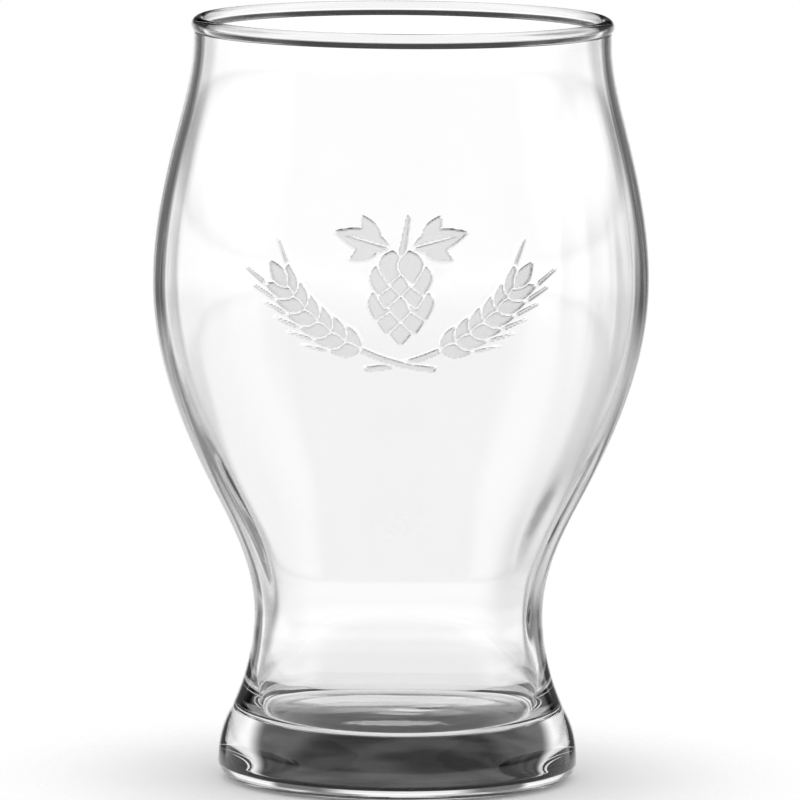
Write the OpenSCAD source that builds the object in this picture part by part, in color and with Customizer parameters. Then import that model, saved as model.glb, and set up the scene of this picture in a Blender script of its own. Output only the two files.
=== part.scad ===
// Pilsner glass with a wide belly, a narrow waist and a thick foot.
// Millimetres. The origin is at the middle of the underside and +Z points up along the axis of the glass.

/* [Overall] */
// Height from the table to the top of the rim
height = 137; // [125:1:150]
// Widest diameter, across the belly
belly_d = 88.8; // [82:0.2:96]
// Narrowest outside diameter, between the belly and the foot
waist_d = 51.8; // [48:0.2:56]
// Outside diameter of the throat, just under the rim
throat_d = 74.7; // [70:0.2:80]
// Widest diameter of the foot
foot_d = 64.4; // [60:0.2:70]

/* [Wall] */
// Thickness of the wall at the throat
throat_wall = 2; // [1.6:0.1:2.2]
// Thickness of the wall at the belly
belly_wall = 2; // [1.6:0.1:2.6]
// Thickness of the wall at the waist
waist_wall = 2.3; // [1.8:0.1:3]

/* [Rim] */
// Thickness of the round bead on the lip
bead_t = 2.8; // [2.4:0.1:3]
// How far the bead stands out past the throat
bead_proud = 0.45; // [0.2:0.05:0.6]

/* [Foot] */
// Width of the rounded heel, from the ring that the glass stands on to the foot's widest line
heel_w = 5.4; // [3:0.1:5.5]
// Height of the rounded heel
heel_h = 3.4; // [2.5:0.1:5]
// Thickness of the glass under the floor, at the floor's edge
floor_t = 10; // [8:0.1:12]
// Radius between the floor and the wall
floor_fillet = 2.2; // [1.5:0.1:5]
// How far the floor dips in the middle
floor_dip = 0.6; // [0.2:0.1:1.5]
// Inside diameter just above the floor
well_d = 51.8; // [50:0.2:53]
// Diameter of the hollow under the foot
punt_d = 48; // [36:0.5:48]
// Depth of the hollow under the foot
punt_depth = 0.5; // [0.2:0.1:3]

/* [Hidden] */
$fn = 96;
glass_colour = [0.80, 0.86, 0.88, 0.45];
bead_colour = [0.62, 0.68, 0.70, 0.60];
foot_colour = [0.66, 0.72, 0.74, 0.60];
curve_steps = 14; // points on each stretch of the outline between two stations
arc_steps = 10;   // points on each small round of the outline
heel_bow = 0.83;  // 1 makes the heel a quarter of an ellipse, less makes it squarer

// Heights of the outline's stations, as shares of the whole height
flank_z = 0.084 * height;
waist_z = 0.221 * height;
taper_z = 0.365 * height;
belly_z = 0.655 * height;
shoulder_z = 0.841 * height;
throat_z = 0.970 * height;

foot_r = foot_d / 2;
waist_r = waist_d / 2;
belly_r = belly_d / 2;
throat_r = throat_d / 2;
well_r = well_d / 2;
punt_r = punt_d / 2;

// The side is steepest at the flank of the foot, at the taper over the waist and at the shoulder
flank_r = waist_r + 0.71 * (foot_r - waist_r);
flank_slope = -2.163 * (foot_r - waist_r) / (waist_z - heel_h);
taper_r = waist_r + 0.342 * (belly_r - waist_r);
taper_slope = 1.71 * (belly_r - waist_r) / (belly_z - waist_z);
shoulder_r = throat_r + 0.457 * (belly_r - throat_r);
shoulder_slope = 1.54 * (throat_r - belly_r) / (throat_z - belly_z);

bead_r = bead_t / 2;
bead_centre_r = throat_r + bead_proud - bead_r;
bead_centre_z = height - bead_r;

// A station is [radius, height, change of radius for each millimetre of height]
outer_stations = [
    [foot_r, heel_h, 0],
    [flank_r, flank_z, flank_slope],
    [waist_r, waist_z, 0],
    [taper_r, taper_z, taper_slope],
    [belly_r, belly_z, 0],
    [shoulder_r, shoulder_z, shoulder_slope],
    [throat_r, throat_z, 0]
];
taper_wall = (waist_wall + belly_wall) / 2;
shoulder_wall = (belly_wall + throat_wall) / 2;
// A sloping wall is wider across than it is thick
function across(wall, slope) = wall * sqrt(1 + slope * slope);
inner_stations = [
    [well_r, floor_t + floor_fillet, 0],
    [waist_r - waist_wall, waist_z, 0],
    [taper_r - across(taper_wall, taper_slope), taper_z, taper_slope],
    [belly_r - belly_wall, belly_z, 0],
    [shoulder_r - across(shoulder_wall, shoulder_slope), shoulder_z, shoulder_slope],
    [throat_r - throat_wall, throat_z, 0]
];

// Cubic curve between two stations that keeps both their slopes, at the share t of the height between them
function between(a, b, t) =
    let (rise = b[1] - a[1])
    [
        a[0] * (1 + 2 * t) * pow(1 - t, 2) + b[0] * t * t * (3 - 2 * t)
            + rise * (a[2] * t * pow(1 - t, 2) - b[2] * t * t * (1 - t)),
        a[1] + t * rise
    ];
// Points of the smooth side from one station of a list to another, upwards
function side(stations, first, last) = [
    for (i = [first : last - 1], k = [0 : curve_steps - 1])
        between(stations[i], stations[i + 1], k / curve_steps),
    [stations[last][0], stations[last][1]]
];
function reversed(points) = [for (i = [len(points) - 1 : -1 : 0]) points[i]];
// Points of an arc about a centre, from one angle to another
function arc(centre, r, from, to) = [
    for (k = [0 : arc_steps])
        let (angle = from + (to - from) * k / arc_steps)
        centre + r * [cos(angle), sin(angle)]
];
// Points of a shallow cap from its edge to the axis: the radius at the edge, its height there, and its rise
function cap(edge_r, edge_z, rise) =
    let (sphere_r = (edge_r * edge_r + rise * rise) / (2 * abs(rise)))
    [
        for (k = [0 : arc_steps])
            let (r = edge_r * (1 - k / arc_steps))
            [r, edge_z + sign(rise) * (sqrt(sphere_r * sphere_r - r * r) - sphere_r + abs(rise))]
    ];

// What the glass holds when it is full to the rim
well_line = concat(
    reversed(cap(well_r - floor_fillet, floor_t, -floor_dip)),
    arc([well_r - floor_fillet, floor_t + floor_fillet], floor_fillet, -90, 0),
    side(inner_stations, 0, 5),
    [[throat_r - throat_wall, height]]
);
capacity_ml = PI / 3000 * [
    for (i = [1 : len(well_line) - 1])
        let (a = well_line[i - 1], b = well_line[i])
        (b[1] - a[1]) * (a[0] * a[0] + a[0] * b[0] + b[0] * b[0])
] * [for (i = [1 : len(well_line) - 1]) 1];
echo(capacity_ml = capacity_ml);

// Thick base: hollow underside, flat ring to stand on, round heel, flared flank and dished floor
module foot() {
    underside = reversed(cap(punt_r, 0, punt_depth));
    heel = [
        for (p = arc([0, 0], 1, -90, 0))
            [
                foot_r - heel_w * (1 - pow(max(p[0], 0), heel_bow)),
                heel_h * (1 - pow(max(-p[1], 0), heel_bow))
            ]
    ];
    flank = side(outer_stations, 0, 2);
    well = reversed(side(inner_stations, 0, 1));
    fillet = arc([well_r - floor_fillet, floor_t + floor_fillet], floor_fillet, 0, -90);
    floor_face = cap(well_r - floor_fillet, floor_t, -floor_dip);
    color(foot_colour)
        rotate_extrude()
            polygon(concat(underside, heel, flank, well, fillet, floor_face));
}

// Blown wall from the waist, over the belly, to the throat
module bowl() {
    color(glass_colour)
        rotate_extrude()
            polygon(concat(side(outer_stations, 2, 6), reversed(side(inner_stations, 1, 5))));
}

// Lip of the glass: a short collar on the throat, melted into a round bead
module rim_bead() {
    collar_h = bead_centre_z - throat_z;
    color(bead_colour)
        rotate_extrude() {
            translate([throat_r - throat_wall, throat_z])
                square([throat_wall, collar_h]);
            translate([bead_centre_r, bead_centre_z])
                circle(bead_r);
        }
}

foot();
bowl();
rim_bead();
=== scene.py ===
"""Pilsner glass on a pale floor: three fused zones of clear glass, with a frosted emblem cut into the belly.

The foot, bowl and rim are closed lathed surfaces, each in the place of its solid. Where two zones meet, the
glass runs on: the faces of the joint carry a finish with no surface, so light crosses them as if nothing were
there. Shapes are worked out in millimetres and go into the meshes in metres.
"""

import logging
import math
from dataclasses import dataclass, field
from enum import IntEnum
from typing import Sequence

import bpy
import numpy as np
from mathutils import Matrix, Vector


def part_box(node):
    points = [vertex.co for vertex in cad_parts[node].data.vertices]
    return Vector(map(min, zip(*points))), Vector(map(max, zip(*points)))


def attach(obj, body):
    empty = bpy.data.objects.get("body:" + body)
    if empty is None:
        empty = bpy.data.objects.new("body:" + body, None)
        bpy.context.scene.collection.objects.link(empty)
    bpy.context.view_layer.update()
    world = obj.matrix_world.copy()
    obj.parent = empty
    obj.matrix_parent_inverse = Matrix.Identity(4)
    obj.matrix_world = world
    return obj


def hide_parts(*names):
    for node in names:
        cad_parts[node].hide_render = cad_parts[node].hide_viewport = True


LOG = logging.getLogger("pilsner_glass")
MM = 0.001
FRAME_PIXELS = 800
BODY = "root"
GLASS_INDEX = 1.51
WHITE = (1.0, 1.0, 1.0, 1.0)
HALF_EIGHTH = math.radians(22.5)
# Depth inside a shape, in millimetres, for places that are well clear of it
FAR_OUTSIDE = -9.0
SPACING_SAMPLES = 20001

Pair = tuple[float, float]
Triple = tuple[float, float, float]
# What goes into a node: the output of another, a number or three numbers
Feed = bpy.types.NodeSocket | float | Triple

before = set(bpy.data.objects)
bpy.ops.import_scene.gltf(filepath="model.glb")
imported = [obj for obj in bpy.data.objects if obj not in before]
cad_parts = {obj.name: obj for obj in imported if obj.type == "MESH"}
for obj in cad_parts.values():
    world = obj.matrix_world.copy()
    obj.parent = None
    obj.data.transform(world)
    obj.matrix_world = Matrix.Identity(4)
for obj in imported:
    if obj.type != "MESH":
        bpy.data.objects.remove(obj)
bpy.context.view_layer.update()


class Face(IntEnum):
    """Material slot of a face of the glass."""

    CLEAR = 0
    JOINT = 1
    ETCHED = 2


# Finishes


class Nodes:
    """Short-hand for adding linked nodes to one node tree."""

    def __init__(self, tree: bpy.types.NodeTree) -> None:
        """Empties the tree and keeps it."""
        self.tree = tree
        tree.nodes.clear()

    def add(
        self, kind: str, inputs: dict[str | int, object] | None = None, **settings: object
    ) -> bpy.types.Node:
        """Adds a node and fills its inputs.

        Args:
            kind: The node's type, such as ShaderNodeMath.
            inputs: Input name or number to a value, or to the output socket that feeds it.
            settings: Properties of the node itself.

        Returns:
            The new node.
        """
        node = self.tree.nodes.new(kind)
        for name, value in settings.items():
            setattr(node, name, value)
        for name, value in (inputs or {}).items():
            if isinstance(value, bpy.types.NodeSocket):
                self.tree.links.new(value, node.inputs[name])
            else:
                node.inputs[name].default_value = value
        return node

    def math(self, operation: str, *values: Feed) -> bpy.types.NodeSocket:
        """Adds a Math node on values or sockets and returns its output."""
        return self.add("ShaderNodeMath", dict(enumerate(values)), operation=operation).outputs[0]

    def vector(self, operation: str, *values: Feed) -> bpy.types.NodeSocket:
        """Adds a Vector Math node and returns its output: a number for LENGTH and DISTANCE, else a vector."""
        node = self.add("ShaderNodeVectorMath", dict(enumerate(values)), operation=operation)
        return node.outputs["Value" if operation in ("LENGTH", "DISTANCE") else "Vector"]

    def noise(self, place: bpy.types.NodeSocket, scale: float, detail: float) -> bpy.types.NodeSocket:
        """Adds a noise texture at a place and returns its value."""
        return self.add("ShaderNodeTexNoise", {"Vector": place, "Scale": scale, "Detail": detail}).outputs[0]

    def blend(self, share: Feed, first: Feed, second: Feed) -> bpy.types.NodeSocket:
        """Adds a mix and returns its output: the first value or socket at share 0, the second at 1."""
        return self.add("ShaderNodeMix", {0: share, 2: first, 3: second}, data_type="FLOAT").outputs[0]

    def ramp(self, value: Feed, edge: Pair, at_low: float, at_high: float) -> bpy.types.NodeSocket:
        """Adds a smooth step of a value.

        Args:
            value: Socket that is read.
            edge: Where the step starts and ends.
            at_low: Result below the step.
            at_high: Result above the step.

        Returns:
            The result's socket.
        """
        step = self.add(
            "ShaderNodeMapRange",
            {0: value, 1: edge[0], 2: edge[1], 3: at_low, 4: at_high},
            interpolation_type="SMOOTHSTEP",
        )
        return step.outputs[0]

    def sweep(
        self, angle: Feed, edge: Pair, at_low: float = 0.0, at_high: float = 1.0
    ) -> bpy.types.NodeSocket:
        """Adds the smooth step of an angle in radians, with the step's edge in degrees."""
        return self.ramp(angle, (math.radians(edge[0]), math.radians(edge[1])), at_low, at_high)


def new_material(name: str) -> tuple[bpy.types.Material, Nodes]:
    """Makes an empty node material.

    Args:
        name: The material's name.

    Returns:
        The material and its nodes.
    """
    material = bpy.data.materials.new(name)
    material.use_nodes = True
    return material, Nodes(material.node_tree)


@dataclass(frozen=True)
class ClearGlass:
    """Fire-polished soda-lime glass."""

    name: str = "clear_glass"
    ior: float = GLASS_INDEX

    def make(self) -> bpy.types.Material:
        """Makes the finish.

        Returns:
            The material: smooth, colourless, fully transmitting.
        """
        material, nodes = new_material(self.name)
        glass = nodes.add(
            "ShaderNodeBsdfPrincipled",
            {
                "Base Color": WHITE,
                "Roughness": 0.0,
                "IOR": self.ior,
                "Transmission Weight": 1.0,
            },
        )
        nodes.add("ShaderNodeOutputMaterial", {"Surface": glass.outputs[0]})
        return material


@dataclass(frozen=True)
class FusedJoint:
    """Where two zones of one piece of glass meet: no surface at all."""

    name: str = "fused_joint"

    def make(self) -> bpy.types.Material:
        """Makes the finish.

        Returns:
            The material, which lets light straight through.
        """
        material, nodes = new_material(self.name)
        through = nodes.add("ShaderNodeBsdfTransparent")
        nodes.add("ShaderNodeOutputMaterial", {"Surface": through.outputs[0]})
        return material


@dataclass(frozen=True)
class EtchedGlass:
    """Frosted floor of the cut emblem."""

    name: str = "etched_glass"
    colour: tuple[float, float, float, float] = (0.95, 0.95, 0.96, 1.0)
    ior: float = GLASS_INDEX
    roughness: float = 0.5
    grains_per_metre: float = 2600.0
    grain_detail: float = 1.0
    grain_depth: float = 0.00003

    def make(self) -> bpy.types.Material:
        """Makes the finish.

        Returns:
            The material: the same glass, blasted until it scatters, with a fine grain.
        """
        material, nodes = new_material(self.name)
        place = nodes.add("ShaderNodeTexCoord").outputs["Object"]
        grain = nodes.noise(place, self.grains_per_metre, self.grain_detail)
        bump = nodes.add("ShaderNodeBump", {"Height": grain, "Distance": self.grain_depth})
        glass = nodes.add(
            "ShaderNodeBsdfPrincipled",
            {
                "Base Color": self.colour,
                "Roughness": self.roughness,
                "IOR": self.ior,
                "Transmission Weight": 1.0,
                "Normal": bump.outputs[0],
            },
        )
        nodes.add("ShaderNodeOutputMaterial", {"Surface": glass.outputs[0]})
        return material


@dataclass(frozen=True)
class PaleFloor:
    """Matt white table that ends softly, so that the studio shows beyond it.

    Through the glass only its middle is kept, set a little to the back, darker with painted shade. Beyond it
    the white studio below shows through as painted light: under the heel, more of it towards the back, and in
    a painted caustic, a long ragged patch where the foot would gather light. Lengths are in metres.
    """

    name: str = "pale_floor"
    albedo: float = 0.93
    fade: Pair = (0.036, 0.08)
    # Painted shade: seen through the glass, the table is darker, most of all in its middle, set a little to
    # the back
    painted_shade_albedo: float = 0.5
    painted_shade_back: float = 0.005
    painted_shade_fade: Pair = (0.0225, 0.029)
    # Painted light: beyond the middle, under the heel, little of the table is kept, so the white studio below
    # shows
    painted_heel_light_kept: float = 0.15
    # Painted light: towards the back, less of the table is kept, so it shows lighter through the glass
    back: Pair = (-0.003, 0.012)
    painted_back_light_kept: float = 0.6
    # Painted caustic: a long ragged patch of painted light where the foot would gather light
    painted_caustic_kept: float = 0.5
    painted_caustic_scale: Triple = (95.0, 400.0, 0.0)
    painted_caustic_shift: Triple = (0.05, 3.1, 0.0)
    painted_caustic_edge: Pair = (0.75, 0.95)
    painted_caustic_noise: float = 3.6
    painted_caustic_detail: float = 3.0
    raggedness: float = 1.6

    def make(self) -> bpy.types.Material:
        """Makes the finish.

        Returns:
            The material: white, fading out with the distance from the middle. Through the glass it is darker
                with painted shade, with painted light in places.
        """
        material, nodes = new_material(self.name)
        place = nodes.add("ShaderNodeTexCoord").outputs["Object"]
        kept = nodes.ramp(nodes.vector("LENGTH", place), self.fade, 1.0, 0.0)
        bent = nodes.add("ShaderNodeLightPath").outputs["Is Transmission Ray"]
        # Through the glass, how much of the table is kept paints light and shade on it
        kept = nodes.math("MINIMUM", kept, nodes.blend(bent, 1.0, self.shade(nodes, place)))
        # Through the glass, the darker albedo is painted shade
        albedo = nodes.blend(bent, self.albedo, self.painted_shade_albedo)
        matt = nodes.add("ShaderNodeBsdfDiffuse", {"Color": albedo})
        through = nodes.add("ShaderNodeBsdfTransparent")
        mix = nodes.add("ShaderNodeMixShader", {0: kept, 1: through.outputs[0], 2: matt.outputs[0]})
        nodes.add("ShaderNodeOutputMaterial", {"Surface": mix.outputs[0]})
        return material

    def shade(self, nodes: Nodes, place: bpy.types.NodeSocket) -> bpy.types.NodeSocket:
        """Adds what is kept of the table where it is seen through the glass, which paints light and shade on
        it.

        Args:
            nodes: The material's nodes.
            place: Place on the table.

        Returns:
            The share that is kept.
        """
        # Painted shade in the middle, and painted light beyond it under the heel
        middle = (0.0, self.painted_shade_back, 0.0)
        shade = nodes.ramp(nodes.vector("DISTANCE", place, middle), self.painted_shade_fade, 1.0, self.painted_heel_light_kept)
        # Painted light: lighter towards the back
        y = nodes.add("ShaderNodeSeparateXYZ", {0: place}).outputs[1]
        shade = nodes.math("MULTIPLY", shade, nodes.ramp(y, self.back, 1.0, self.painted_back_light_kept))
        # Painted caustic: a long ragged patch of painted light
        return nodes.math("MINIMUM", shade, self.painted_caustic(nodes, place))

    def painted_caustic(self, nodes: Nodes, place: bpy.types.NodeSocket) -> bpy.types.NodeSocket:
        """Adds the painted caustic: painted light in a long ellipse with a ragged edge, where the foot would
        gather light.

        Args:
            nodes: The material's nodes.
            place: Place on the table.

        Returns:
            The share of the table that is kept in and around it.
        """
        stretched = nodes.vector("MULTIPLY_ADD", place, self.painted_caustic_scale, self.painted_caustic_shift)
        grain = nodes.noise(stretched, self.painted_caustic_noise, self.painted_caustic_detail)
        rough = nodes.math("MULTIPLY", nodes.math("SUBTRACT", grain, 0.5), self.raggedness)
        away = nodes.math("ADD", nodes.vector("LENGTH", stretched), rough)
        return nodes.ramp(away, self.painted_caustic_edge, self.painted_caustic_kept, 1.0)


# Outlines


@dataclass(frozen=True)
class Station:
    """One ring of the side: its radius and height, and the radius gained for each millimetre of height."""

    radius: float
    height: float
    slope: float


@dataclass(frozen=True)
class Bend:
    """Where the side is steepest between two level rings.

    Attributes:
        height_share: Its height, as a share of the whole height.
        radius_share: How far its radius is from the narrower ring's towards the wider one's.
        steepness: Its slope, as a multiple of that of the straight line between the rings.
    """

    height_share: float
    radius_share: float
    steepness: float


def full_turn(columns: int) -> np.ndarray:
    """Returns equal steps of angle around one turn, in radians, without its end."""
    return np.linspace(0.0, 2 * np.pi, columns, endpoint=False)


def spaced(
    low: float, high: float, coarse: float, spots: Sequence[Triple], growth: float = 0.14
) -> np.ndarray:
    """Positions from low to high that lie closer together at some spots.

    The gap at a position is the least of the coarse gap and, for each spot, its own gap plus a share of the
    distance to the spot. The positions are where the summed inverse of the gap passes equal steps.

    Args:
        low: First position.
        high: Last position.
        coarse: Widest gap.
        spots: Start, end and gap of each closer stretch.
        growth: How much wider the gap grows with the distance from a spot.

    Returns:
        The positions, both ends among them.
    """
    fine = np.linspace(low, high, SPACING_SAMPLES)
    gap = np.full_like(fine, coarse)
    for start, end, close in spots:
        away = np.maximum(np.maximum(start - fine, fine - end), 0.0)
        gap = np.minimum(gap, close + growth * away)
    steps = np.concatenate(([0.0], np.cumsum(np.diff(fine) * 2.0 / (gap[1:] + gap[:-1]))))
    count = int(math.ceil(steps[-1]))
    return np.interp(np.linspace(0.0, steps[-1], count + 1), steps, fine)


def side(stations: Sequence[Station], heights: np.ndarray) -> np.ndarray:
    """Radius of a smooth side at given heights.

    Between two stations the radius is the cubic in height that keeps both radii and both slopes.

    Args:
        stations: Stations from low to high.
        heights: Heights to work out.

    Returns:
        Points as rows of radius and height.
    """
    levels = np.array([s.height for s in stations])
    radii = np.array([s.radius for s in stations])
    slopes = np.array([s.slope for s in stations])
    i = np.clip(np.searchsorted(levels, heights, side="right") - 1, 0, len(stations) - 2)
    rise = levels[i + 1] - levels[i]
    t = (heights - levels[i]) / rise
    radius = (
        radii[i] * (1 + 2 * t) * (1 - t) ** 2
        + radii[i + 1] * t**2 * (3 - 2 * t)
        + rise * (slopes[i] * t * (1 - t) ** 2 - slopes[i + 1] * t**2 * (1 - t))
    )
    return np.column_stack((radius, heights))


def arc(centre: Pair, radius: float, start: float, end: float, count: int) -> np.ndarray:
    """Points of an arc about a centre.

    Args:
        centre: Radius and height of the centre.
        radius: Radius of the arc.
        start: First angle in degrees, from the outward direction.
        end: Last angle in degrees.
        count: Number of points.

    Returns:
        Points as rows of radius and height.
    """
    angle = np.radians(np.linspace(start, end, count))
    return np.column_stack((centre[0] + radius * np.cos(angle), centre[1] + radius * np.sin(angle)))


@dataclass(frozen=True)
class Swelling:
    """Place on the inner wall where the soft glass settled thicker, or thinner if its depth is below zero.

    It is a bell curve around and upwards. Its angle and width are in degrees, the rest in millimetres.
    """

    angle: float
    height: float
    wide: float
    tall: float
    depth: float

    def at(self, angles: np.ndarray, heights: np.ndarray) -> np.ndarray:
        """Thickness that it adds: the depth, falling with the squares of the distances around and up.

        Args:
            angles: Angles of the columns, in radians from the front.
            heights: Heights of the rows, in millimetres.

        Returns:
            Millimetres for each row and column.
        """
        around = np.degrees(np.angle(np.exp(1j * (angles - math.radians(self.angle))))) / self.wide
        up = (heights - self.height) / self.tall
        return self.depth * np.exp(-(around[None, :] ** 2) - up[:, None] ** 2)


@dataclass(frozen=True)
class Wave:
    """Sine wave over a surface with the coordinates u and v, whose crests may sway.

    Its height is share * sin(across * u + along * v + start + sway * sin(sway_along * v + sway_start)).
    """

    share: float
    across: float
    along: float
    start: float = 0.0
    sway: float = 0.0
    sway_along: float = 0.0
    sway_start: float = 0.0

    def at(self, u: np.ndarray, v: np.ndarray) -> np.ndarray:
        """Returns its height at each place."""
        sway = self.sway * np.sin(self.sway_along * v + self.sway_start)
        return self.share * np.sin(self.across * u + self.along * v + self.start + sway)


@dataclass
class GlassForm:
    """Sizes of the whole glass, in millimetres, and the stations of its two sides."""

    height: float
    belly_r: float
    foot_r: float
    waist_r: float = 25.9
    throat_r: float = 37.35
    throat_wall: float = 2.0
    belly_wall: float = 2.0
    waist_wall: float = 2.3
    heel_w: float = 5.4
    heel_h: float = 3.4
    heel_bow: float = 0.83
    floor_t: float = 10.0
    floor_fillet: float = 2.2
    floor_dip: float = 0.6
    well_r: float = 25.9
    waist_share: float = 0.221
    belly_share: float = 0.655
    throat_share: float = 0.970
    flank: Bend = Bend(0.084, 0.71, 2.163)
    taper: Bend = Bend(0.365, 0.342, 1.71)
    shoulder: Bend = Bend(0.841, 0.457, 1.54)
    wave_depth: float = 0.02
    wave_z: float = 92.0
    wave_reach: float = 22.0
    waves: tuple[Wave, ...] = (
        Wave(1.0, 38.0, 0.0, 0.4, 0.9, 0.06),
        Wave(0.8, 23.0, -0.035, 1.3),
        Wave(0.6, 29.0, 0.02),
    )
    swellings: tuple[Swelling, ...] = (
        Swelling(56.0, 49.0, 7.0, 9.0, 0.24),
        Swelling(72.0, 49.0, 5.0, 9.0, 0.34),
        Swelling(-66.0, 46.0, 6.0, 12.0, 0.22),
        Swelling(-58.0, 57.0, 6.0, 8.0, -0.16),
        Swelling(118.0, 42.0, 8.0, 10.0, 0.20),
        Swelling(-121.0, 50.0, 8.0, 10.0, 0.18),
        Swelling(63.0, 30.0, 6.0, 6.0, -0.16),
        Swelling(-49.0, 25.0, 8.0, 5.0, 0.18),
        Swelling(160.0, 53.0, 14.0, 9.0, 0.10),
        Swelling(54.0, 120.0, 7.0, 8.0, 0.20),
    )
    outer: list[Station] = field(init=False)
    inner: list[Station] = field(init=False)

    def __post_init__(self) -> None:
        """Works out the stations: level rings at heel, waist, belly and throat, with bends between them."""
        heel = Station(self.foot_r, self.heel_h, 0.0)
        waist = Station(self.waist_r, self.waist_z, 0.0)
        belly = Station(self.belly_r, self.belly_share * self.height, 0.0)
        throat = Station(self.throat_r, self.throat_z, 0.0)
        flank = self.between(self.flank, heel, waist)
        taper = self.between(self.taper, waist, belly)
        shoulder = self.between(self.shoulder, belly, throat)
        self.outer = [heel, flank, waist, taper, belly, shoulder, throat]
        walls = (
            (waist, self.waist_wall),
            (taper, (self.waist_wall + self.belly_wall) / 2),
            (belly, self.belly_wall),
            (shoulder, (self.belly_wall + self.throat_wall) / 2),
            (throat, self.throat_wall),
        )
        self.inner = [Station(self.well_r, self.well_z, 0.0)]
        self.inner += [self.inset(station, wall) for station, wall in walls]

    @property
    def waist_z(self) -> float:
        """Height of the waist, where the foot and the bowl meet."""
        return self.waist_share * self.height

    @property
    def throat_z(self) -> float:
        """Height of the throat, where the bowl and the rim meet."""
        return self.throat_share * self.height

    @property
    def well_z(self) -> float:
        """Height at which the well's wall rises from the fillet around the floor."""
        return self.floor_t + self.floor_fillet

    def between(self, bend: Bend, low: Station, high: Station) -> Station:
        """Works out the station of a bend.

        Args:
            bend: The bend.
            low: Level ring below it.
            high: Level ring above it.

        Returns:
            The station.
        """
        gain = high.radius - low.radius
        radius = min(low.radius, high.radius) + bend.radius_share * abs(gain)
        slope = bend.steepness * gain / (high.height - low.height)
        return Station(radius, bend.height_share * self.height, slope)

    @staticmethod
    def inset(station: Station, wall: float) -> Station:
        """Returns the station inside a wall, which is wider across where it slopes."""
        across = wall * math.hypot(1.0, station.slope)
        return Station(station.radius - across, station.height, station.slope)

    def settled(self, angles: np.ndarray, heights: np.ndarray) -> np.ndarray:
        """Change in the inner wall's radius from the swellings, and from long waves that blowing left.

        The waves run around the belly, and fade in a bell curve of height.

        Args:
            angles: Angles of the columns, in radians from the front.
            heights: Heights of the rows, in millimetres.

        Returns:
            Millimetres for each row and column.
        """
        a, z = angles[None, :], heights[:, None]
        waves = sum(wave.at(a, z) for wave in self.waves)
        fading = np.exp(-(((z - self.wave_z) / self.wave_reach) ** 2))
        swelled = sum(swelling.at(angles, heights) for swelling in self.swellings)
        return self.wave_depth * waves * fading - swelled


@dataclass
class Outline:
    """Half section of a lathed piece: points from the axis or a corner, up the outside, down the inside."""

    points: np.ndarray
    faces: np.ndarray
    hard: np.ndarray
    closed: bool

    @classmethod
    def joined(cls, stretches: Sequence[tuple[np.ndarray, Face]], closed: bool) -> "Outline":
        """Joins stretches end to end.

        A corner between two stretches with different slots is hard. Repeated points are dropped.

        Args:
            stretches: Points of each stretch, and the slot of its faces.
            closed: Whether the last point runs on to the first.

        Returns:
            The outline.
        """
        points = np.concatenate([stretches[0][0]] + [stretch[1:] for stretch, _ in stretches[1:]])
        faces = np.concatenate([np.full(len(stretch) - 1, slot) for stretch, slot in stretches])
        hard = np.zeros(len(points), bool)
        row = 0
        for before, after in zip(stretches, stretches[1:]):
            row += len(before[0]) - 1
            hard[row] = before[1] != after[1]
        if closed:
            points, hard = points[:-1], hard[:-1]
            hard[0] = stretches[0][1] != stretches[-1][1]
        return cls(points, faces, hard, closed)


def fill_mesh(name: str, places: np.ndarray, quads: np.ndarray, tris: np.ndarray) -> bpy.types.Mesh:
    """Puts arrays into a new mesh.

    Args:
        name: The mesh's name.
        places: Vertices, in metres.
        quads: Four vertex numbers a face.
        tris: Three vertex numbers a face.

    Returns:
        The mesh, shaded smooth.
    """
    mesh = bpy.data.meshes.new(name)
    mesh.vertices.add(len(places))
    mesh.vertices.foreach_set("co", places.astype(np.float32).ravel())
    corners = np.concatenate((quads.ravel(), tris.ravel())).astype(np.int32)
    sizes = np.concatenate((np.full(len(quads), 4), np.full(len(tris), 3)))
    starts = np.concatenate(([0], np.cumsum(sizes)[:-1])).astype(np.int32)
    mesh.loops.add(len(corners))
    mesh.loops.foreach_set("vertex_index", corners)
    mesh.polygons.add(len(sizes))
    mesh.polygons.foreach_set("loop_start", starts)
    mesh.update(calc_edges=True)
    mesh.validate()
    mesh.shade_smooth()
    return mesh


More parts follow.
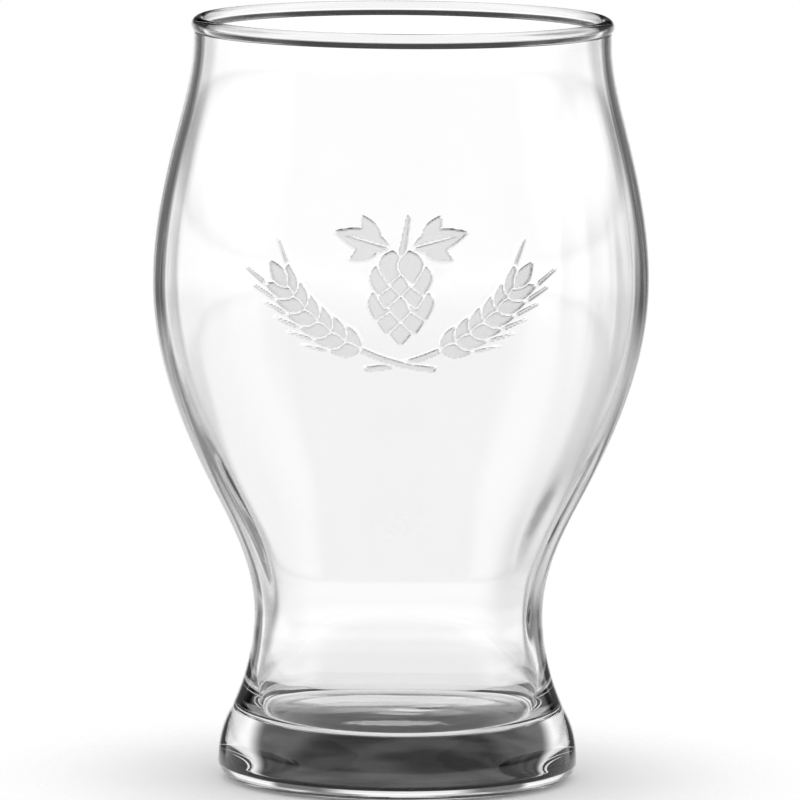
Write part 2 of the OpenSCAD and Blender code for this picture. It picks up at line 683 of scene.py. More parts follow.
def lathe(
    name: str,
    outline: Outline,
    angles: np.ndarray,
    radial: np.ndarray | float = 0.0,
    lift: np.ndarray | float = 0.0,
) -> bpy.types.Object:
    """Turns an outline about the upright axis into a closed piece.

    A point of radius r, height z and angle a lies at (r sin a, -r cos a, z), so angle 0 faces the viewer.
    Rows are the outline's points and columns the angles; a row on the axis is one vertex, a fan's tip.

    Args:
        name: The piece's name.
        outline: The half section.
        angles: Angles of the columns, one turn without its end.
        radial: Radius to add to each row and column, in millimetres.
        lift: Height to add to each row and column, in millimetres.

    Returns:
        The object, with one material number a face.
    """
    r = np.repeat(outline.points[:, :1], len(angles), axis=1) + radial
    z = np.repeat(outline.points[:, 1:], len(angles), axis=1) + lift
    places = np.stack((r * np.sin(angles), -r * np.cos(angles), z), axis=-1).reshape(-1, 3) * MM
    rows, columns = len(outline.points), len(angles)
    row_of = np.repeat(np.arange(rows), columns)
    number = np.arange(rows * columns).reshape(rows, columns)
    across = np.roll(number, -1, axis=1)
    if outline.closed:
        number = np.vstack((number, number[:1]))
        across = np.vstack((across, across[:1]))
    quads = np.stack((number[:-1], across[:-1], across[1:], number[1:]), axis=-1)
    slots = np.repeat(outline.faces[:, None], columns, axis=1)
    tris, tri_slots = np.empty((0, 3), int), np.empty(0, int)
    if not outline.closed:
        first = np.column_stack((np.full(columns, number[0, 0]), across[1], number[1]))
        last = np.column_stack((number[-2], across[-2], np.full(columns, number[-1, 0])))
        tris, tri_slots = np.vstack((first, last)), np.concatenate((slots[0], slots[-1]))
        quads, slots = quads[1:-1], slots[1:-1]
        used = np.ones(len(places), bool)
        used[1:columns] = False
        used[-columns + 1 :] = False
        new_number = np.cumsum(used) - 1
        places, row_of = places[used], row_of[used]
        quads, tris = new_number[quads], new_number[tris]
    mesh = fill_mesh(name, places, quads.reshape(-1, 4), tris)
    mesh.polygons.foreach_set("material_index", np.concatenate((slots.ravel(), tri_slots)).astype(np.int32))
    ends = np.empty(len(mesh.edges) * 2, np.int32)
    mesh.edges.foreach_get("vertices", ends)
    edge_rows = row_of[ends.reshape(-1, 2)]
    sharp = (edge_rows[:, 0] == edge_rows[:, 1]) & outline.hard[edge_rows[:, 0]]
    marks = mesh.attributes.get("sharp_edge") or mesh.attributes.new("sharp_edge", "BOOLEAN", "EDGE")
    marks.data.foreach_set("value", sharp)
    piece = bpy.data.objects.new(name, mesh)
    bpy.context.scene.collection.objects.link(piece)
    return piece


# The glass


@dataclass
class Foot:
    """Thick base: hollow underside, ring to stand on, heel, flared flank, floor and the well above it."""

    form: GlassForm
    punt_r: float = 24.0
    punt_depth: float = 0.5
    punt_blend: float = 0.06
    well_ease: float = 3.0
    ripple_depth: float = 0.05
    ripple_reach: float = 21.0
    ripples: tuple[Wave, ...] = (
        Wave(1.0, 0.55, 0.21, 0.7),
        Wave(0.8, 0.83, -0.32, 2.1, 1.3, 0.19, 0.4),
        Wave(0.6, 0.35, 0.41, -1.1),
    )
    row_gap: float = 0.7
    end_gap: float = 0.3
    joint_gap: float = 0.04
    punt_points: int = 40
    heel_points: int = 28
    fillet_points: int = 18
    floor_points: int = 60
    columns: int = 300

    def underside(self) -> np.ndarray:
        """Works out the shallow dish under the foot, which eases into the flat ring.

        The height is the soft maximum of zero and the dish, which falls with the square of the radius.

        Returns:
            Points from the axis to the heel.
        """
        r = np.linspace(0.0, self.form.foot_r - self.form.heel_w, self.punt_points)
        dish = self.punt_depth * (1.0 - (r / self.punt_r) ** 2)
        z = (dish + np.sqrt(dish**2 + self.punt_blend**2)) / 2
        return np.column_stack((r, z - z[-1]))

    def heel(self) -> np.ndarray:
        """Works out the heel: a quarter of an ellipse, made squarer by a power of its sine and cosine.

        Returns:
            Points from the ring up to the foot's widest line.
        """
        form = self.form
        bow = np.abs(arc((0.0, 0.0), 1.0, -90.0, 0.0, self.heel_points)) ** form.heel_bow
        return np.column_stack((form.foot_r - form.heel_w * (1 - bow[:, 0]), form.heel_h * (1 - bow[:, 1])))

    def floor(self) -> np.ndarray:
        """Works out the floor and the fillet around it; the dip is the square of a parabola.

        Returns:
            Points from the well's wall to the axis.
        """
        form = self.form
        edge_r = form.well_r - form.floor_fillet
        fillet = arc((edge_r, form.well_z), form.floor_fillet, 0.0, -90.0, self.fillet_points)
        r = np.linspace(fillet[-1, 0], 0.0, self.floor_points)
        dip = form.floor_dip * (1.0 - (r / r[0]) ** 2) ** 2
        return np.vstack((fillet[:-1], np.column_stack((r, form.floor_t - dip))))

    def levels(self, low: float) -> np.ndarray:
        """Returns the heights of the rows from a level up to the waist, closer together at both ends."""
        top = self.form.waist_z
        return spaced(low, top, self.row_gap, [(low, low, self.end_gap), (top, top, self.joint_gap)])

    def outline(self) -> Outline:
        """Joins the half section.

        Returns:
            The outline, from the axis under the foot to the axis on the floor.
        """
        outside = side(self.form.outer[:3], self.levels(self.form.heel_h))
        inside = side(self.form.inner[:2], self.levels(self.form.well_z))[::-1]
        return Outline.joined(
            [
                (self.underside(), Face.CLEAR),
                (self.heel(), Face.CLEAR),
                (outside, Face.CLEAR),
                (np.vstack((outside[-1], inside[0])), Face.JOINT),
                (inside, Face.CLEAR),
                (self.floor(), Face.CLEAR),
            ],
            closed=False,
        )

    def rippled(self, r: np.ndarray, angles: np.ndarray) -> np.ndarray:
        """Height of the chill ripples on the floor: crossing waves that die out towards the floor's edge.

        Args:
            r: Radius of each row.
            angles: Angles of the columns.

        Returns:
            Millimetres for each row and column.
        """
        x, y = r[:, None] * np.sin(angles), -r[:, None] * np.cos(angles)
        waves = sum(wave.at(y, x) for wave in self.ripples)
        fading = np.clip(1.0 - (r[:, None] / self.ripple_reach) ** 2, 0.0, 1.0) ** 2
        return self.ripple_depth * waves * fading

    def build(self) -> bpy.types.Object:
        """Builds the foot's glass: its well is settled unevenly and its floor rippled.

        Returns:
            The piece.
        """
        outline = self.outline()
        angles = full_turn(self.columns)
        r, z = outline.points.T
        inner = np.arange(len(z)) > np.argmax(z)
        ease = np.clip((z - self.form.well_z) / self.well_ease, 0.0, 1.0)
        radial = self.form.settled(angles, z) * (inner * ease)[:, None]
        lift = self.rippled(r, angles) * (inner & (z <= self.form.floor_t))[:, None]
        return lathe("foot_glass", outline, angles, radial, lift)


@dataclass
class HarvestEmblem:
    """Hop cone over two crossed ears of barley, as a signed depth inside its outline.

    Places are in millimetres to the right and up, around the belly, from the emblem's middle. Headings are in
    degrees from the right. A size is a length and a width.
    """

    centre_z: float
    gap: float = 0.4
    blade_fullness: float = 0.8
    line_taper: float = 0.5
    ear_centre: Pair = (-9.0, 25.0)
    ear_r: float = 38.5
    stem_span: Pair = (-86.0, -42.0)
    stem_width: float = 0.9
    grain: Pair = (5.6, 2.5)
    grain_span: Pair = (-65.0, -42.0)
    grain_pairs: int = 6
    grain_spread: float = 30.0
    tip_step: float = 3.0
    awn: Pair = (5.0, 0.5)
    awn_spread: float = 14.0
    stalk: Pair = (7.0, 1.2)
    stalk_foot: Pair = (0.0, 6.5)
    stalk_heading: float = 80.0
    leaf: Pair = (10.5, 3.8)
    leaf_foot: Pair = (2.0, 8.2)
    leaf_heading: float = 14.0
    lobe: Pair = (6.0, 2.9)
    lobe_step: float = 2.0
    lobe_spread: float = 42.0
    vein: Pair = (8.4, 0.45)
    bract: Pair = (5.6, 4.3)
    bract_pull: float = 0.8
    bract_lean: float = 4.0
    bract_rows: tuple[tuple[float, tuple[float, ...]], ...] = (
        (-3.4, (0.0,)),
        (-1.4, (-2.2, 2.2)),
        (0.9, (-3.7, 0.0, 3.7)),
        (3.2, (-2.3, 2.3)),
        (5.4, (-3.4, 0.0, 3.4)),
        (7.5, (-1.8, 1.8)),
    )

    @staticmethod
    def ahead(start: Pair, heading: float, distance: float) -> Pair:
        """Returns the point at a distance from a start along a heading."""
        turn = math.radians(heading)
        return start[0] + distance * math.cos(turn), start[1] + distance * math.sin(turn)

    @staticmethod
    def measured(
        s: np.ndarray, t: np.ndarray, start: Pair, heading: float, length: float
    ) -> tuple[np.ndarray, np.ndarray]:
        """Measures places against a straight axis.

        Args:
            s: Distance to the right.
            t: Distance up.
            start: Where the axis starts.
            heading: Its direction.
            length: Its length.

        Returns:
            The share of the axis that is passed, from 0 to 1, and the distance from the axis.
        """
        turn = math.radians(heading)
        along = (s - start[0]) * math.cos(turn) + (t - start[1]) * math.sin(turn)
        aside = (t - start[1]) * math.cos(turn) - (s - start[0]) * math.sin(turn)
        beyond = np.maximum(np.maximum(-along, along - length), 0.0)
        return np.clip(along / length, 0.0, 1.0), np.hypot(aside, beyond)

    def blade(self, s: np.ndarray, t: np.ndarray, foot: Pair, heading: float, size: Pair) -> np.ndarray:
        """Depth inside one blade: its half width is the sine of a power of the share of its length.

        Args:
            s: Distance to the right.
            t: Distance up.
            foot: Where the blade starts.
            heading: Direction of its axis.
            size: Its size.

        Returns:
            Depth inside the outline, negative outside.
        """
        share, distance = self.measured(s, t, foot, heading, size[0])
        return size[1] / 2 * np.sin(np.pi * share**self.blade_fullness) - distance

    def line(self, s: np.ndarray, t: np.ndarray, start: Pair, heading: float, size: Pair) -> np.ndarray:
        """Depth inside a thin line, whose width falls evenly along its length.

        Args:
            s: Distance to the right.
            t: Distance up.
            start: Where the line starts.
            heading: Its direction.
            size: Its size.

        Returns:
            Depth inside the outline, negative outside.
        """
        share, distance = self.measured(s, t, start, heading, size[0])
        return size[1] / 2 * (1.0 - self.line_taper * share) - distance

    def over(self, below: np.ndarray, shape: np.ndarray) -> np.ndarray:
        """Lays a shape over what is below it, which is cleared in a thin gap around the shape."""
        return np.maximum(np.minimum(below, -shape - self.gap), shape)

    def on_ear(self, angle: float) -> Pair:
        """Returns the point of the right ear's stem at an angle in degrees about the stem's centre."""
        return self.ahead(self.ear_centre, angle, self.ear_r)

    def ear(self, whole: np.ndarray, s: np.ndarray, t: np.ndarray) -> np.ndarray:
        """Lays the right ear: an arc for its stem, pairs of grains along it, awns and one grain at the tip.

        Args:
            whole: Depth inside what is there already.
            s: Distance to the right.
            t: Distance up.

        Returns:
            Depth inside the outline with the ear.
        """
        right, up = s - self.ear_centre[0], t - self.ear_centre[1]
        angle = np.degrees(np.arctan2(up, right))
        stem = self.stem_width / 2 - np.abs(np.hypot(right, up) - self.ear_r)
        on_stem = (angle > self.stem_span[0]) & (angle < self.stem_span[1])
        whole = self.over(whole, np.where(on_stem, stem, FAR_OUTSIDE))
        places = np.linspace(*self.grain_span, self.grain_pairs)
        for outward in (-1.0, 1.0):
            for place in places:
                foot = self.on_ear(place)
                heading = place + 90.0 - outward * self.grain_spread
                if outward > 0.0 or place == places[-1]:
                    tip = self.ahead(foot, heading, self.grain[0])
                    awn = self.line(s, t, tip, heading + outward * self.awn_spread, self.awn)
                    whole = np.maximum(whole, awn)
                whole = self.over(whole, self.blade(s, t, foot, heading, self.grain))
        tip_angle = places[-1] + self.tip_step
        return self.over(whole, self.blade(s, t, self.on_ear(tip_angle), tip_angle + 90.0, self.grain))

    def hop_leaf(self, s: np.ndarray, t: np.ndarray, foot: Pair, heading: float) -> np.ndarray:
        """Depth inside a leaf of three lobes, with a groove down the middle.

        Args:
            s: Distance to the right.
            t: Distance up.
            foot: Where the leaf starts.
            heading: Direction of its middle lobe.

        Returns:
            Depth inside the outline, negative outside.
        """
        joint = self.ahead(foot, heading, self.lobe_step)
        leaf = self.blade(s, t, foot, heading, self.leaf)
        for spread in (-self.lobe_spread, self.lobe_spread):
            leaf = np.maximum(leaf, self.blade(s, t, joint, heading + spread, self.lobe))
        return np.minimum(leaf, -self.line(s, t, foot, heading, self.vein))

    def cone(self, whole: np.ndarray, s: np.ndarray, t: np.ndarray) -> np.ndarray:
        """Lays the hop cone: a stalk and leaves, then rows of hanging bracts, each row over the one below it.

        Args:
            whole: Depth inside what is there already.
            s: Distance to the right.
            t: Distance up.

        Returns:
            Depth inside the outline with the cone.
        """
        whole = self.over(whole, self.line(s, t, self.stalk_foot, self.stalk_heading, self.stalk))
        for hand in (1.0, -1.0):
            foot = (hand * self.leaf_foot[0], self.leaf_foot[1])
            heading = 90.0 - hand * (90.0 - self.leaf_heading)
            whole = self.over(whole, self.hop_leaf(s, t, foot, heading))
        for level, columns in self.bract_rows:
            for column in columns:
                foot = (column * self.bract_pull, level)
                heading = -90.0 + self.bract_lean * column
                whole = self.over(whole, self.blade(s, t, foot, heading, self.bract))
        return whole

    def depth(self, s: np.ndarray, t: np.ndarray) -> np.ndarray:
        """Depth inside the whole emblem: the right ear, the left ear across it, and the cone.

        Args:
            s: Distance to the right.
            t: Distance up.

        Returns:
            Depth inside the outline, negative outside.
        """
        whole = np.full(s.shape, FAR_OUTSIDE)
        whole = self.ear(whole, s, t)
        whole = self.ear(whole, -s, t)
        return self.cone(whole, s, t)


@dataclass
class Bowl:
    """Blown wall from the waist over the belly to the throat, with the emblem cut into its front."""

    form: GlassForm
    emblem: HarvestEmblem
    cut_depth: float = 0.22
    cut_edge: float = 0.12
    reach_s: float = 29.6
    reach_t: float = 15.0
    cell: float = 0.27
    growth: float = 0.3
    column_gap: float = 1.8
    outer_gap: float = 1.6
    inner_gap: float = 2.4
    joint_gap: float = 0.05

    def angles(self) -> np.ndarray:
        """Works out the columns, whose gap away from the emblem is given in degrees.

        Returns:
            Their angles in radians, close together over the emblem.
        """
        half = self.reach_s / self.form.belly_r
        close = self.cell / self.form.belly_r
        return spaced(-np.pi, np.pi, np.radians(self.column_gap), [(-half, half, close)], self.growth)[:-1]

    def outline(self) -> tuple[Outline, int]:
        """Joins the half section.

        Returns:
            The outline, and the number of rows on the outside.
        """
        form = self.form
        low, high = form.waist_z, form.throat_z
        ends = [(low, low, self.joint_gap), (high, high, self.joint_gap)]
        middle = self.emblem.centre_z
        close = (middle - self.reach_t, middle + self.reach_t, self.cell)
        outside = side(form.outer, spaced(low, high, self.outer_gap, ends + [close], self.growth))
        inside = side(form.inner, spaced(low, high, self.inner_gap, ends, self.growth))[::-1]
        outline = Outline.joined(
            [
                (outside, Face.CLEAR),
                (np.vstack((outside[-1], inside[0])), Face.JOINT),
                (inside, Face.CLEAR),
                (np.vstack((inside[-1], outside[0])), Face.JOINT),
            ],
            closed=True,
        )
        return outline, len(outside)

    def build(self) -> bpy.types.Object:
        """Builds the bowl's glass: the outside sinks where the emblem is cut, in a smooth step at its edge.

        Returns:
            The piece.
        """
        outline, rows = self.outline()
        angles = self.angles()
        s = np.repeat((angles * self.form.belly_r)[None], rows, axis=0)
        t = np.repeat((outline.points[:rows, 1] - self.emblem.centre_z)[:, None], len(angles), axis=1)
        inside = self.emblem.depth(s, t)
        step = np.clip((inside + self.cut_edge) / (2 * self.cut_edge), 0.0, 1.0)
        radial = np.zeros((len(outline.points), len(angles)))
        radial[:rows] = -self.cut_depth * step**2 * (3 - 2 * step)
        radial[rows:] = self.form.settled(angles, outline.points[rows:, 1])
        piece = lathe("bowl_glass", outline, angles, radial)
        self.mark_cut(piece, inside)
        return piece

    @staticmethod
    def mark_cut(piece: bpy.types.Object, inside: np.ndarray) -> None:
        """Gives the etched slot to the faces whose corners lie inside the emblem, on average.

        Args:
            piece: The bowl's glass, whose first faces are the outside's, row by row.
            inside: Depth inside the emblem for each row and column of the outside.
        """
        around = np.roll(inside, -1, axis=1)
        mean = (inside[:-1] + inside[1:] + around[:-1] + around[1:]) / 4
        slots = np.empty(len(piece.data.polygons), np.int32)
        piece.data.polygons.foreach_get("material_index", slots)
        slots[np.flatnonzero(mean.ravel() > 0.0)] = Face.ETCHED
        piece.data.polygons.foreach_set("material_index", slots)


@dataclass
class RimBead:
    """Lip of the glass: a short collar on the throat, melted into a round bead."""

    form: GlassForm
    bead_r: float = 1.4
    bead_proud: float = 0.45
    outer_fillet: float = 0.6
    inner_fillet: float = 1.2
    row_gap: float = 0.5
    joint_gap: float = 0.04
    bead_points: int = 56
    outer_points: int = 7
    inner_points: int = 6
    columns: int = 320

    @property
    def centre(self) -> Pair:
        """Radius and height of the middle of the bead."""
        return self.form.throat_r + self.bead_proud - self.bead_r, self.form.height - self.bead_r

    def fillet(self, r: float, radius: float) -> tuple[Pair, float]:
        """Finds the circle under the bead that touches it from outside: its centre is both radii away.

        Args:
            r: Radius at which the fillet's centre lies.
            radius: Radius of the fillet.

        Returns:
            Its centre, and the direction from there to the middle of the bead, in degrees.
        """
        bead_r, bead_z = self.centre
        z = bead_z - math.sqrt((self.bead_r + radius) ** 2 - (r - bead_r) ** 2)
        return (r, z), math.degrees(math.atan2(bead_z - z, bead_r - r))

    def collar(self, r: float, top: float) -> np.ndarray:
        """Works out one upright wall of the collar, from the throat up.

        Args:
            r: Radius of the wall.
            top: Height at which it ends.

        Returns:
            Its points, closer together at the throat.
        """
        low = self.form.throat_z
        z = spaced(low, top, self.row_gap, [(low, low, self.joint_gap)])
        return np.column_stack((np.full_like(z, r), z))

    def outline(self) -> Outline:
        """Joins the half section: the bead's arc, eased into the collar by a fillet on each side.

        Returns:
            The outline.
        """
        wall_out, wall_in = self.form.throat_r, self.form.throat_r - self.form.throat_wall
        out_centre, out_turn = self.fillet(wall_out + self.outer_fillet, self.outer_fillet)
        in_centre, in_turn = self.fillet(wall_in - self.inner_fillet, self.inner_fillet)
        outside = self.collar(wall_out, out_centre[1])
        inside = self.collar(wall_in, in_centre[1])[::-1]
        bead = arc(self.centre, self.bead_r, out_turn - 180.0, in_turn + 180.0, self.bead_points)
        return Outline.joined(
            [
                (outside, Face.CLEAR),
                (arc(out_centre, self.outer_fillet, 180.0, out_turn, self.outer_points), Face.CLEAR),
                (bead, Face.CLEAR),
                (arc(in_centre, self.inner_fillet, in_turn, 0.0, self.inner_points), Face.CLEAR),
                (inside, Face.CLEAR),
                (np.vstack((inside[-1], outside[0])), Face.JOINT),
            ],
            closed=True,
        )

    def build(self) -> bpy.types.Object:
        """Returns the lip's glass."""
        return lathe("rim_glass", self.outline(), full_turn(self.columns))


@dataclass
class PilsnerGlass:
    """The whole glass: its form, its three zones and their finishes."""

    form: GlassForm
    emblem_share: float = 0.672

    def build(self) -> list[bpy.types.Object]:
        """Builds and dresses the three zones, each in the place of its solid.

        Returns:
            The pieces.
        """
        emblem = HarvestEmblem(centre_z=self.emblem_share * self.form.height)
        finishes = [ClearGlass().make(), FusedJoint().make(), EtchedGlass().make()]
        made = {
            "foot": Foot(self.form).build(),
            "bowl": Bowl(self.form, emblem).build(),
            "rim_bead": RimBead(self.form).build(),
        }
        for node, piece in made.items():
            self.dress(piece, finishes if node == "bowl" else finishes[:2])
            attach(piece, BODY)
            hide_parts(node)
            LOG.info("%s: %d faces", piece.name, len(piece.data.polygons))
        return list(made.values())

    @staticmethod
    def dress(piece: bpy.types.Object, finishes: Sequence[bpy.types.Material]) -> None:
        """Gives a piece its material slots, keeping the number on each face.

        Args:
            piece: The piece.
            finishes: Its materials, in the order of Face.
        """
        slots = np.empty(len(piece.data.polygons), np.int32)
        piece.data.polygons.foreach_get("material_index", slots)
        for finish in finishes:
            piece.data.materials.append(finish)
        piece.data.polygons.foreach_set("material_index", slots)


# The studio


@dataclass(frozen=True)
class Bearing:
    """Sockets for the direction in which light is looked for, as angles in radians.

    Attributes:
        vector: The direction itself.
        height: Its angle above the horizon.
        swing: Its angle to the right of straight behind the glass.
        off: The same without its sign.
        turned: Its angle from the nearest eighth of a turn.
        aside: The same without its sign.
    """

    vector: bpy.types.NodeSocket
    height: bpy.types.NodeSocket
    swing: bpy.types.NodeSocket
    off: bpy.types.NodeSocket
    turned: bpy.types.NodeSocket
    aside: bpy.types.NodeSocket


@dataclass(frozen=True)
class SoftBox:
    """Light with soft edges: the degrees at which it starts, is full, ends being full and ends."""

    across: tuple[float, float, float, float]
    upright: tuple[float, float, float, float]

    def glow(
        self, nodes: Nodes, off: bpy.types.NodeSocket, height: bpy.types.NodeSocket
    ) -> bpy.types.NodeSocket:
        """Adds the light.

        Args:
            nodes: The world's nodes.
            off: Angle away from straight behind the glass.
            height: Angle above the horizon.

        Returns:
            Its brightness, from 0 to 1.
        """
        parts = []
        for angle, (start, full, last, end) in ((off, self.across), (height, self.upright)):
            rise = nodes.sweep(angle, (start, full))
            fall = nodes.sweep(angle, (last, end), 1.0, 0.0)
            parts.append(nodes.math("MULTIPLY", rise, fall))
        return nodes.math("MULTIPLY", *parts)


@dataclass(frozen=True)
class BrightField:
    """What the glass sees around it.

    It is white all round at the level of the glass, with dark strips standing in the white, tall boxes on
    both sides, one box high up behind, and a dark, faintly clouded ceiling. Straight through the glass one
    sees white, and where it bends light far, at its edges and in its foot, dark. Angles are in degrees.
    """

    swing_shift: float = 0.8
    wall_tone: float = 1.08
    table_tone: float = 0.96
    table_edge: Pair = (-7.4, -5.8)
    horizon: Pair = (0.5, 4.6)
    haze: Pair = (4.0, 8.7)
    haze_tone: float = 0.12
    behind_end: Pair = (37.0, 41.0)
    strip_tone: float = 0.14
    strip_start: Pair = (8.5, 19.5)
    strip_end: Pair = (31.0, 36.0)
    grey_share: float = 0.15
    grey_start: Pair = (3.5, 8.0)
    grey_top: Pair = (-5.5, -4.0)
    low_start: Pair = (4.5, 10.5)
    low_top: Pair = (-13.0, -7.5)
    low_bottom: Pair = (-32.0, -24.0)
    low_middle: Pair = (-2.0, 2.0)
    low_left_tone: float = 0.62
    low_right_rise: Pair = (-13.5, -11.5)
    low_right_tones: Pair = (0.25, 0.62)
    low_far_start: Pair = (19.5, 24.5)
    low_far_lean: float = 6.0
    low_far_rise: Pair = (-14.5, -12.5)
    low_far_tones: Pair = (0.7, 0.48)
    side_tone: float = 0.75
    side_start: Pair = (36.0, 46.0)
    side_end: Pair = (75.0, 105.0)
    box_shift: float = 2.0
    tall_boxes: SoftBox = SoftBox((41.0, 53.0, 100.0, 120.0), (2.0, 8.0, 60.0, 72.0))
    overhead_box: SoftBox = SoftBox((-2.0, -1.0, 26.0, 46.0), (44.0, 52.0, 67.0, 76.0))
    ceiling_tone: float = 0.022
    cloud_stretch: Triple = (4.0, 4.0, 26.0)
    cloud_scale: float = 0.8
    cloud_detail: float = 1.0
    cloud_edge: Pair = (0.36, 0.64)

    def bearing(self, nodes: Nodes) -> Bearing:
        """Adds the angles of the direction in which light is looked for.

        Args:
            nodes: The world's nodes.

        Returns:
            The sockets.
        """
        vector = nodes.add("ShaderNodeTexCoord").outputs["Generated"]
        x, y, z = nodes.add("ShaderNodeSeparateXYZ", {0: vector}).outputs
        swing = nodes.math("ADD", nodes.math("ARCTAN2", x, y), math.radians(self.swing_shift))
        turned = nodes.math("WRAP", nodes.math("ARCTAN2", y, x), HALF_EIGHTH, -HALF_EIGHTH)
        return Bearing(
            vector=vector,
            height=nodes.math("ARCSINE", z),
            swing=swing,
            off=nodes.math("ABSOLUTE", swing),
            turned=turned,
            aside=nodes.math("ABSOLUTE", turned),
        )

    def low_strips(self, nodes: Nodes, bearing: Bearing) -> bpy.types.NodeSocket:
        """Adds the strips below the table's edge, which are paler and stand closer to the eighths of a turn.

        Args:
            nodes: The world's nodes.
            bearing: The direction.

        Returns:
            Their tone, 1 beside them.
        """
        right = nodes.sweep(bearing.height, self.low_right_rise, *self.low_right_tones)
        tone = nodes.blend(nodes.sweep(bearing.turned, self.low_middle), right, self.low_left_tone)
        far = nodes.sweep(bearing.height, self.low_far_rise, *self.low_far_tones)
        lean = nodes.sweep(bearing.turned, self.low_middle, 0.0, math.radians(self.low_far_lean))
        reach = nodes.math("ADD", bearing.aside, lean)
        tone = nodes.blend(nodes.sweep(reach, self.low_far_start), tone, far)
        return nodes.blend(nodes.sweep(bearing.aside, self.low_start), 1.0, tone)

    def strips(self, nodes: Nodes, bearing: Bearing, behind: bpy.types.NodeSocket) -> bpy.types.NodeSocket:
        """Adds the strips between the eighths of a turn, and a grey veil to the right, low behind the glass.

        Args:
            nodes: The world's nodes.
            bearing: The direction.
            behind: 1 in the stretch behind the glass, 0 elsewhere.

        Returns:
            Their tone, 1 beside them.
        """
        near = nodes.sweep(bearing.off, self.strip_start)
        near = nodes.math("MULTIPLY", near, nodes.sweep(bearing.off, self.strip_end, 1.0, 0.0))
        other = nodes.sweep(bearing.aside, self.strip_start)
        tone = nodes.blend(nodes.blend(behind, other, near), 1.0, self.strip_tone)
        grey = nodes.sweep(bearing.swing, self.grey_start, 0.0, self.grey_share)
        veil = nodes.math("MULTIPLY", behind, nodes.sweep(bearing.height, self.grey_top, 1.0, 0.0))
        grey = nodes.math("MULTIPLY", grey, veil)
        tone = nodes.math("MULTIPLY", tone, nodes.math("SUBTRACT", 1.0, grey))
        low = nodes.sweep(bearing.height, self.low_top, 1.0, 0.0)
        tone = nodes.blend(low, tone, self.low_strips(nodes, bearing))
        return nodes.blend(nodes.sweep(bearing.height, self.low_bottom, 1.0, 0.0), tone, 1.0)

    def wall(
        self, nodes: Nodes, bearing: Bearing, reflections: bpy.types.NodeSocket
    ) -> bpy.types.NodeSocket:
        """Adds the white at the level of the glass, with its strips.

        What has been reflected sees the strips only behind the glass, and elsewhere a plain wall.

        Args:
            nodes: The world's nodes.
            bearing: The direction.
            reflections: How often the light has been reflected.

        Returns:
            Its brightness.
        """
        behind = nodes.sweep(bearing.off, self.behind_end, 1.0, 0.0)
        sides = nodes.sweep(bearing.off, self.side_start)
        sides = nodes.math("MULTIPLY", sides, nodes.sweep(bearing.off, self.side_end, 1.0, 0.0))
        plain = nodes.blend(sides, 1.0, self.side_tone)
        striped = nodes.math("MAXIMUM", behind, nodes.math("LESS_THAN", reflections, 0.5))
        around = nodes.blend(striped, plain, self.strips(nodes, bearing, behind))
        table = nodes.sweep(bearing.height, self.table_edge, self.table_tone, self.wall_tone)
        above = nodes.sweep(bearing.height, self.horizon, self.wall_tone, 0.0)
        above = nodes.math("MAXIMUM", above, nodes.sweep(bearing.height, self.haze, self.haze_tone, 0.0))
        return nodes.math("MINIMUM", nodes.math("MULTIPLY", around, table), above)

    def boxes(self, nodes: Nodes, bearing: Bearing) -> bpy.types.NodeSocket:
        """Adds the tall boxes on both sides, and the one high up behind.

        Args:
            nodes: The world's nodes.
            bearing: The direction.

        Returns:
            Their brightness.
        """
        apart = nodes.math("ABSOLUTE", nodes.math("ADD", bearing.swing, math.radians(self.box_shift)))
        tall = self.tall_boxes.glow(nodes, apart, bearing.height)
        return nodes.math("MAXIMUM", tall, self.overhead_box.glow(nodes, bearing.off, bearing.height))

    def ceiling(self, nodes: Nodes, bearing: Bearing) -> bpy.types.NodeSocket:
        """Adds the ceiling, dark with faint, flat clouds.

        Args:
            nodes: The world's nodes.
            bearing: The direction.

        Returns:
            Its brightness.
        """
        flat = nodes.vector("MULTIPLY", bearing.vector, self.cloud_stretch)
        cloud = nodes.noise(flat, self.cloud_scale, self.cloud_detail)
        return nodes.ramp(cloud, self.cloud_edge, 0.0, 2 * self.ceiling_tone)

    def brightness(self, nodes: Nodes, reflections: bpy.types.NodeSocket) -> bpy.types.NodeSocket:
        """Adds the whole field: at each direction the brightest of wall, boxes and ceiling.

        Args:
            nodes: The world's nodes.
            reflections: How often the light has been reflected.

        Returns:
            The brightness.
        """
        bearing = self.bearing(nodes)
        lit = nodes.math("MAXIMUM", self.wall(nodes, bearing, reflections), self.boxes(nodes, bearing))
        return nodes.math("MAXIMUM", lit, self.ceiling(nodes, bearing))


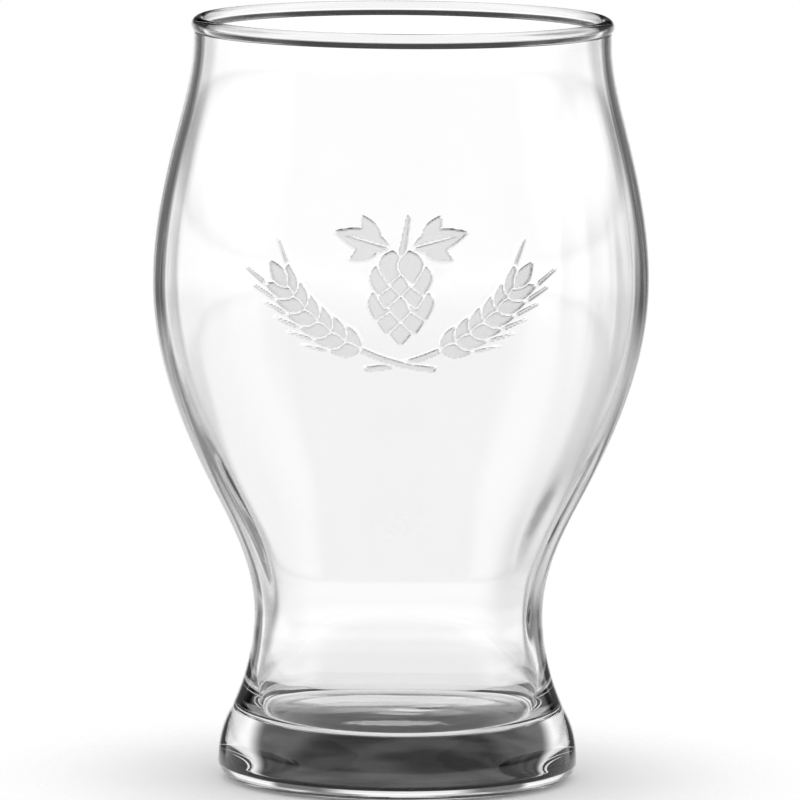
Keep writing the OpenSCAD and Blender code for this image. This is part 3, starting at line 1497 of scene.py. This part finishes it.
@dataclass
class Studio:
    """Floor, light and camera. Lengths are in millimetres."""

    dome: float = 1.08
    floor_r: float = 135.0
    floor_columns: int = 96
    floor_gap: float = 0.02
    camera_distance: float = 1824.0
    camera_height: float = 286.6
    aim_height: float = 68.2
    roll: float = 0.44
    pixels_per_mm: float = 5.582
    sensor_width: float = 36.0
    view_reach: float = 50000.0
    bounces: int = 24

    def floor(self) -> bpy.types.Object:
        """Builds the floor: a disc just under the glass.

        Returns:
            The disc.
        """
        columns = self.floor_columns
        angle = full_turn(columns)
        ring = np.column_stack((np.cos(angle), np.sin(angle), np.zeros(columns))) * self.floor_r
        places = (np.vstack((np.zeros(3), ring)) - (0.0, 0.0, self.floor_gap)) * MM
        number = np.arange(columns)
        tris = np.column_stack((np.zeros(columns, int), number + 1, (number + 1) % columns + 1))
        mesh = fill_mesh("floor", places, np.empty((0, 4), int), tris)
        mesh.materials.append(PaleFloor().make())
        floor = bpy.data.objects.new("floor", mesh)
        bpy.context.scene.collection.objects.link(floor)
        return floor

    def world(self) -> bpy.types.World:
        """Makes the world: an even dome for matt surfaces, the bright field for glass, white for the camera.

        Returns:
            The world.
        """
        world = bpy.data.worlds.new("studio")
        world.use_nodes = True
        nodes = Nodes(world.node_tree)
        path = nodes.add("ShaderNodeLightPath").outputs
        bright = BrightField().brightness(nodes, path["Glossy Depth"])
        bent = nodes.math("MAXIMUM", path["Is Glossy Ray"], path["Is Transmission Ray"])
        seen = nodes.blend(path["Is Camera Ray"], nodes.blend(bent, self.dome, bright), 1.0)
        light = nodes.add("ShaderNodeBackground", {"Color": WHITE, "Strength": seen})
        nodes.add("ShaderNodeOutputWorld", {"Surface": light.outputs[0]})
        bpy.context.scene.world = world
        return world

    def camera(self) -> bpy.types.Object:
        """Makes the camera, aimed at the middle of the glass and rolled as the photograph is.

        Returns:
            The camera.
        """
        data = bpy.data.cameras.new("camera")
        camera = bpy.data.objects.new("camera", data)
        bpy.context.scene.collection.objects.link(camera)
        place = Vector((0.0, -self.camera_distance, self.camera_height)) * MM
        aim = Vector((0.0, 0.0, self.aim_height)) * MM
        facing = (aim - place).to_track_quat("-Z", "Y").to_matrix().to_4x4()
        roll = Matrix.Rotation(math.radians(self.roll), 4, "Z")
        camera.matrix_world = Matrix.Translation(place) @ facing @ roll
        reach = (aim - place).length / MM
        data.sensor_width = self.sensor_width
        data.lens = self.pixels_per_mm * reach * self.sensor_width / FRAME_PIXELS
        data.clip_end = self.view_reach * MM
        bpy.context.scene.camera = camera
        return camera

    def build(self) -> None:
        """Sets the scene around the glass."""
        self.floor()
        self.world()
        self.camera()
        scene = bpy.context.scene
        scene.view_settings.view_transform = "Standard"
        scene.cycles.max_bounces = self.bounces
        scene.cycles.transmission_bounces = self.bounces
        scene.cycles.transparent_max_bounces = self.bounces


def main() -> None:
    """Builds the glass and its studio."""
    logging.basicConfig(level=logging.INFO, format="%(name)s: %(message)s")
    foot_box, bowl_box, rim_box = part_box("foot"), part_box("bowl"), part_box("rim_bead")
    form = GlassForm(
        height=rim_box[1][2] / MM,
        belly_r=bowl_box[1][0] / MM,
        foot_r=foot_box[1][0] / MM,
    )
    PilsnerGlass(form).build()
    Studio().build()


if __name__ == "__main__":
    main()
